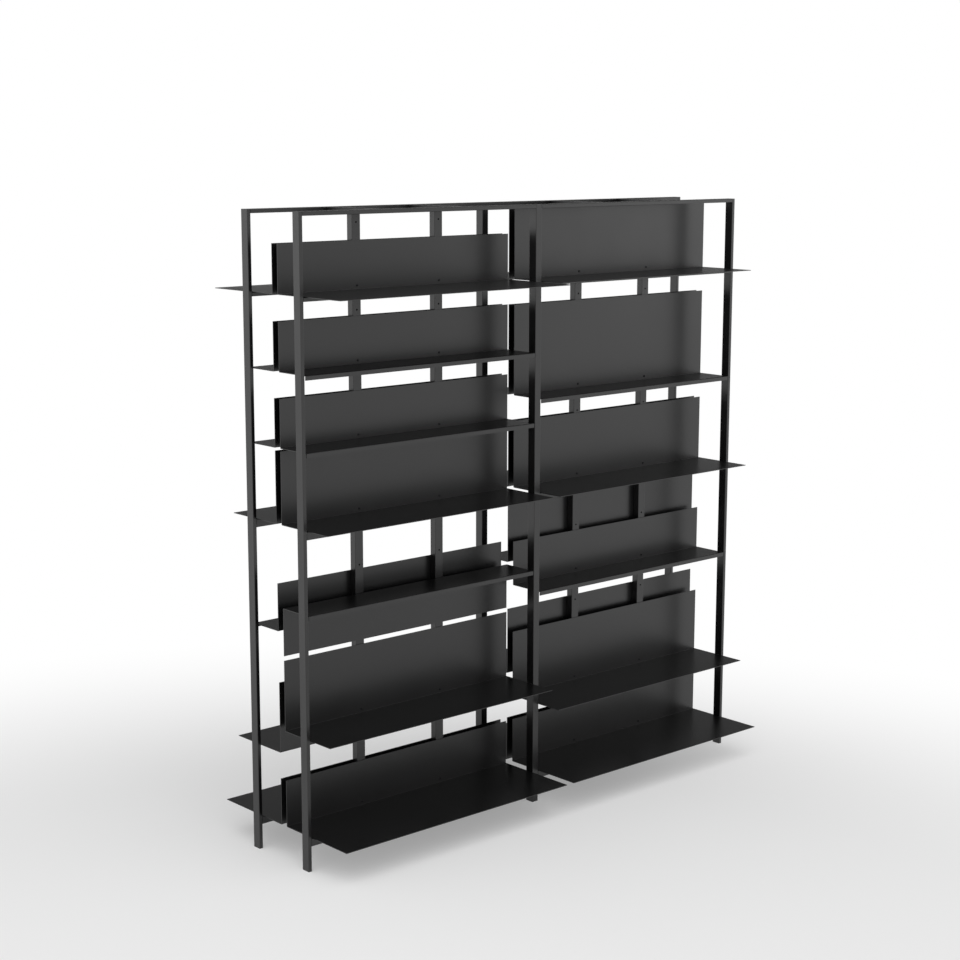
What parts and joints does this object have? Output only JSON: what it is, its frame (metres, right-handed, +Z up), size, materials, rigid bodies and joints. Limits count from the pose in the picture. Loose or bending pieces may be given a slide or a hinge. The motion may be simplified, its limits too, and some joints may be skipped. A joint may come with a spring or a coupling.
{
  "type": "double sided library shelving",
  "caption": "Free-standing two-bay library shelving of steel tube and folded sheet, with shelves of mixed depth and back height on both sides of perforated standards.",
  "frame": {"origin": "on the floor, under the middle of the unit", "axes": "+Z up, X along the length, front of the unit towards -Y"},
  "size_m": [1.9, 0.6294, 2],
  "materials": {
    "frame_coat": "black satin powder coat",
    "shelf_coat": "black satin powder coat"
  },
  "bodies": {
    "root": {"crossbar_bottom_left_1": "frame_coat", "crossbar_bottom_left_2": "frame_coat", "crossbar_bottom_right_1": "frame_coat", "crossbar_bottom_right_2": "frame_coat", "crossbar_top_left_1": "frame_coat", "crossbar_top_left_2": "frame_coat", "crossbar_top_right_1": "frame_coat", "crossbar_top_right_2": "frame_coat", "post_back_left": "frame_coat", "post_back_middle": "frame_coat", "post_back_right": "frame_coat", "post_front_left": "frame_coat", "post_front_middle": "frame_coat", "post_front_right": "frame_coat", "rail_bottom_back_left": "frame_coat", "rail_bottom_back_right": "frame_coat", "rail_bottom_front_left": "frame_coat", "rail_bottom_front_right": "frame_coat", "rail_middle_back_left": "frame_coat", "rail_middle_back_right": "frame_coat", "rail_middle_front_left": "frame_coat", "rail_middle_front_right": "frame_coat", "rail_top_back_left": "frame_coat", "rail_top_back_right": "frame_coat", "rail_top_front_left": "frame_coat", "rail_top_front_right": "frame_coat", "rail_upper_back_left": "frame_coat", "rail_upper_back_right": "frame_coat", "rail_upper_front_left": "frame_coat", "rail_upper_front_right": "frame_coat", "shelf_back_left_1": "shelf_coat", "shelf_back_left_2": "shelf_coat", "shelf_back_left_3": "shelf_coat", "shelf_back_left_4": "shelf_coat", "shelf_back_left_5": "shelf_coat", "shelf_back_left_6": "shelf_coat", "shelf_back_left_7": "shelf_coat", "shelf_back_right_1": "shelf_coat", "shelf_back_right_2": "shelf_coat", "shelf_back_right_3": "shelf_coat", "shelf_back_right_4": "shelf_coat", "shelf_back_right_5": "shelf_coat", "shelf_back_right_6": "shelf_coat", "shelf_front_left_1": "shelf_coat", "shelf_front_left_2": "shelf_coat", "shelf_front_left_3": "shelf_coat", "shelf_front_left_4": "shelf_coat", "shelf_front_left_5": "shelf_coat", "shelf_front_left_6": "shelf_coat", "shelf_front_left_7": "shelf_coat", "shelf_front_right_1": "shelf_coat", "shelf_front_right_2": "shelf_coat", "shelf_front_right_3": "shelf_coat", "shelf_front_right_4": "shelf_coat", "shelf_front_right_5": "shelf_coat", "shelf_front_right_6": "shelf_coat", "standard_left_1": "frame_coat", "standard_left_2": "frame_coat", "standard_right_1": "frame_coat", "standard_right_2": "frame_coat"}
  },
  "joints": []
}
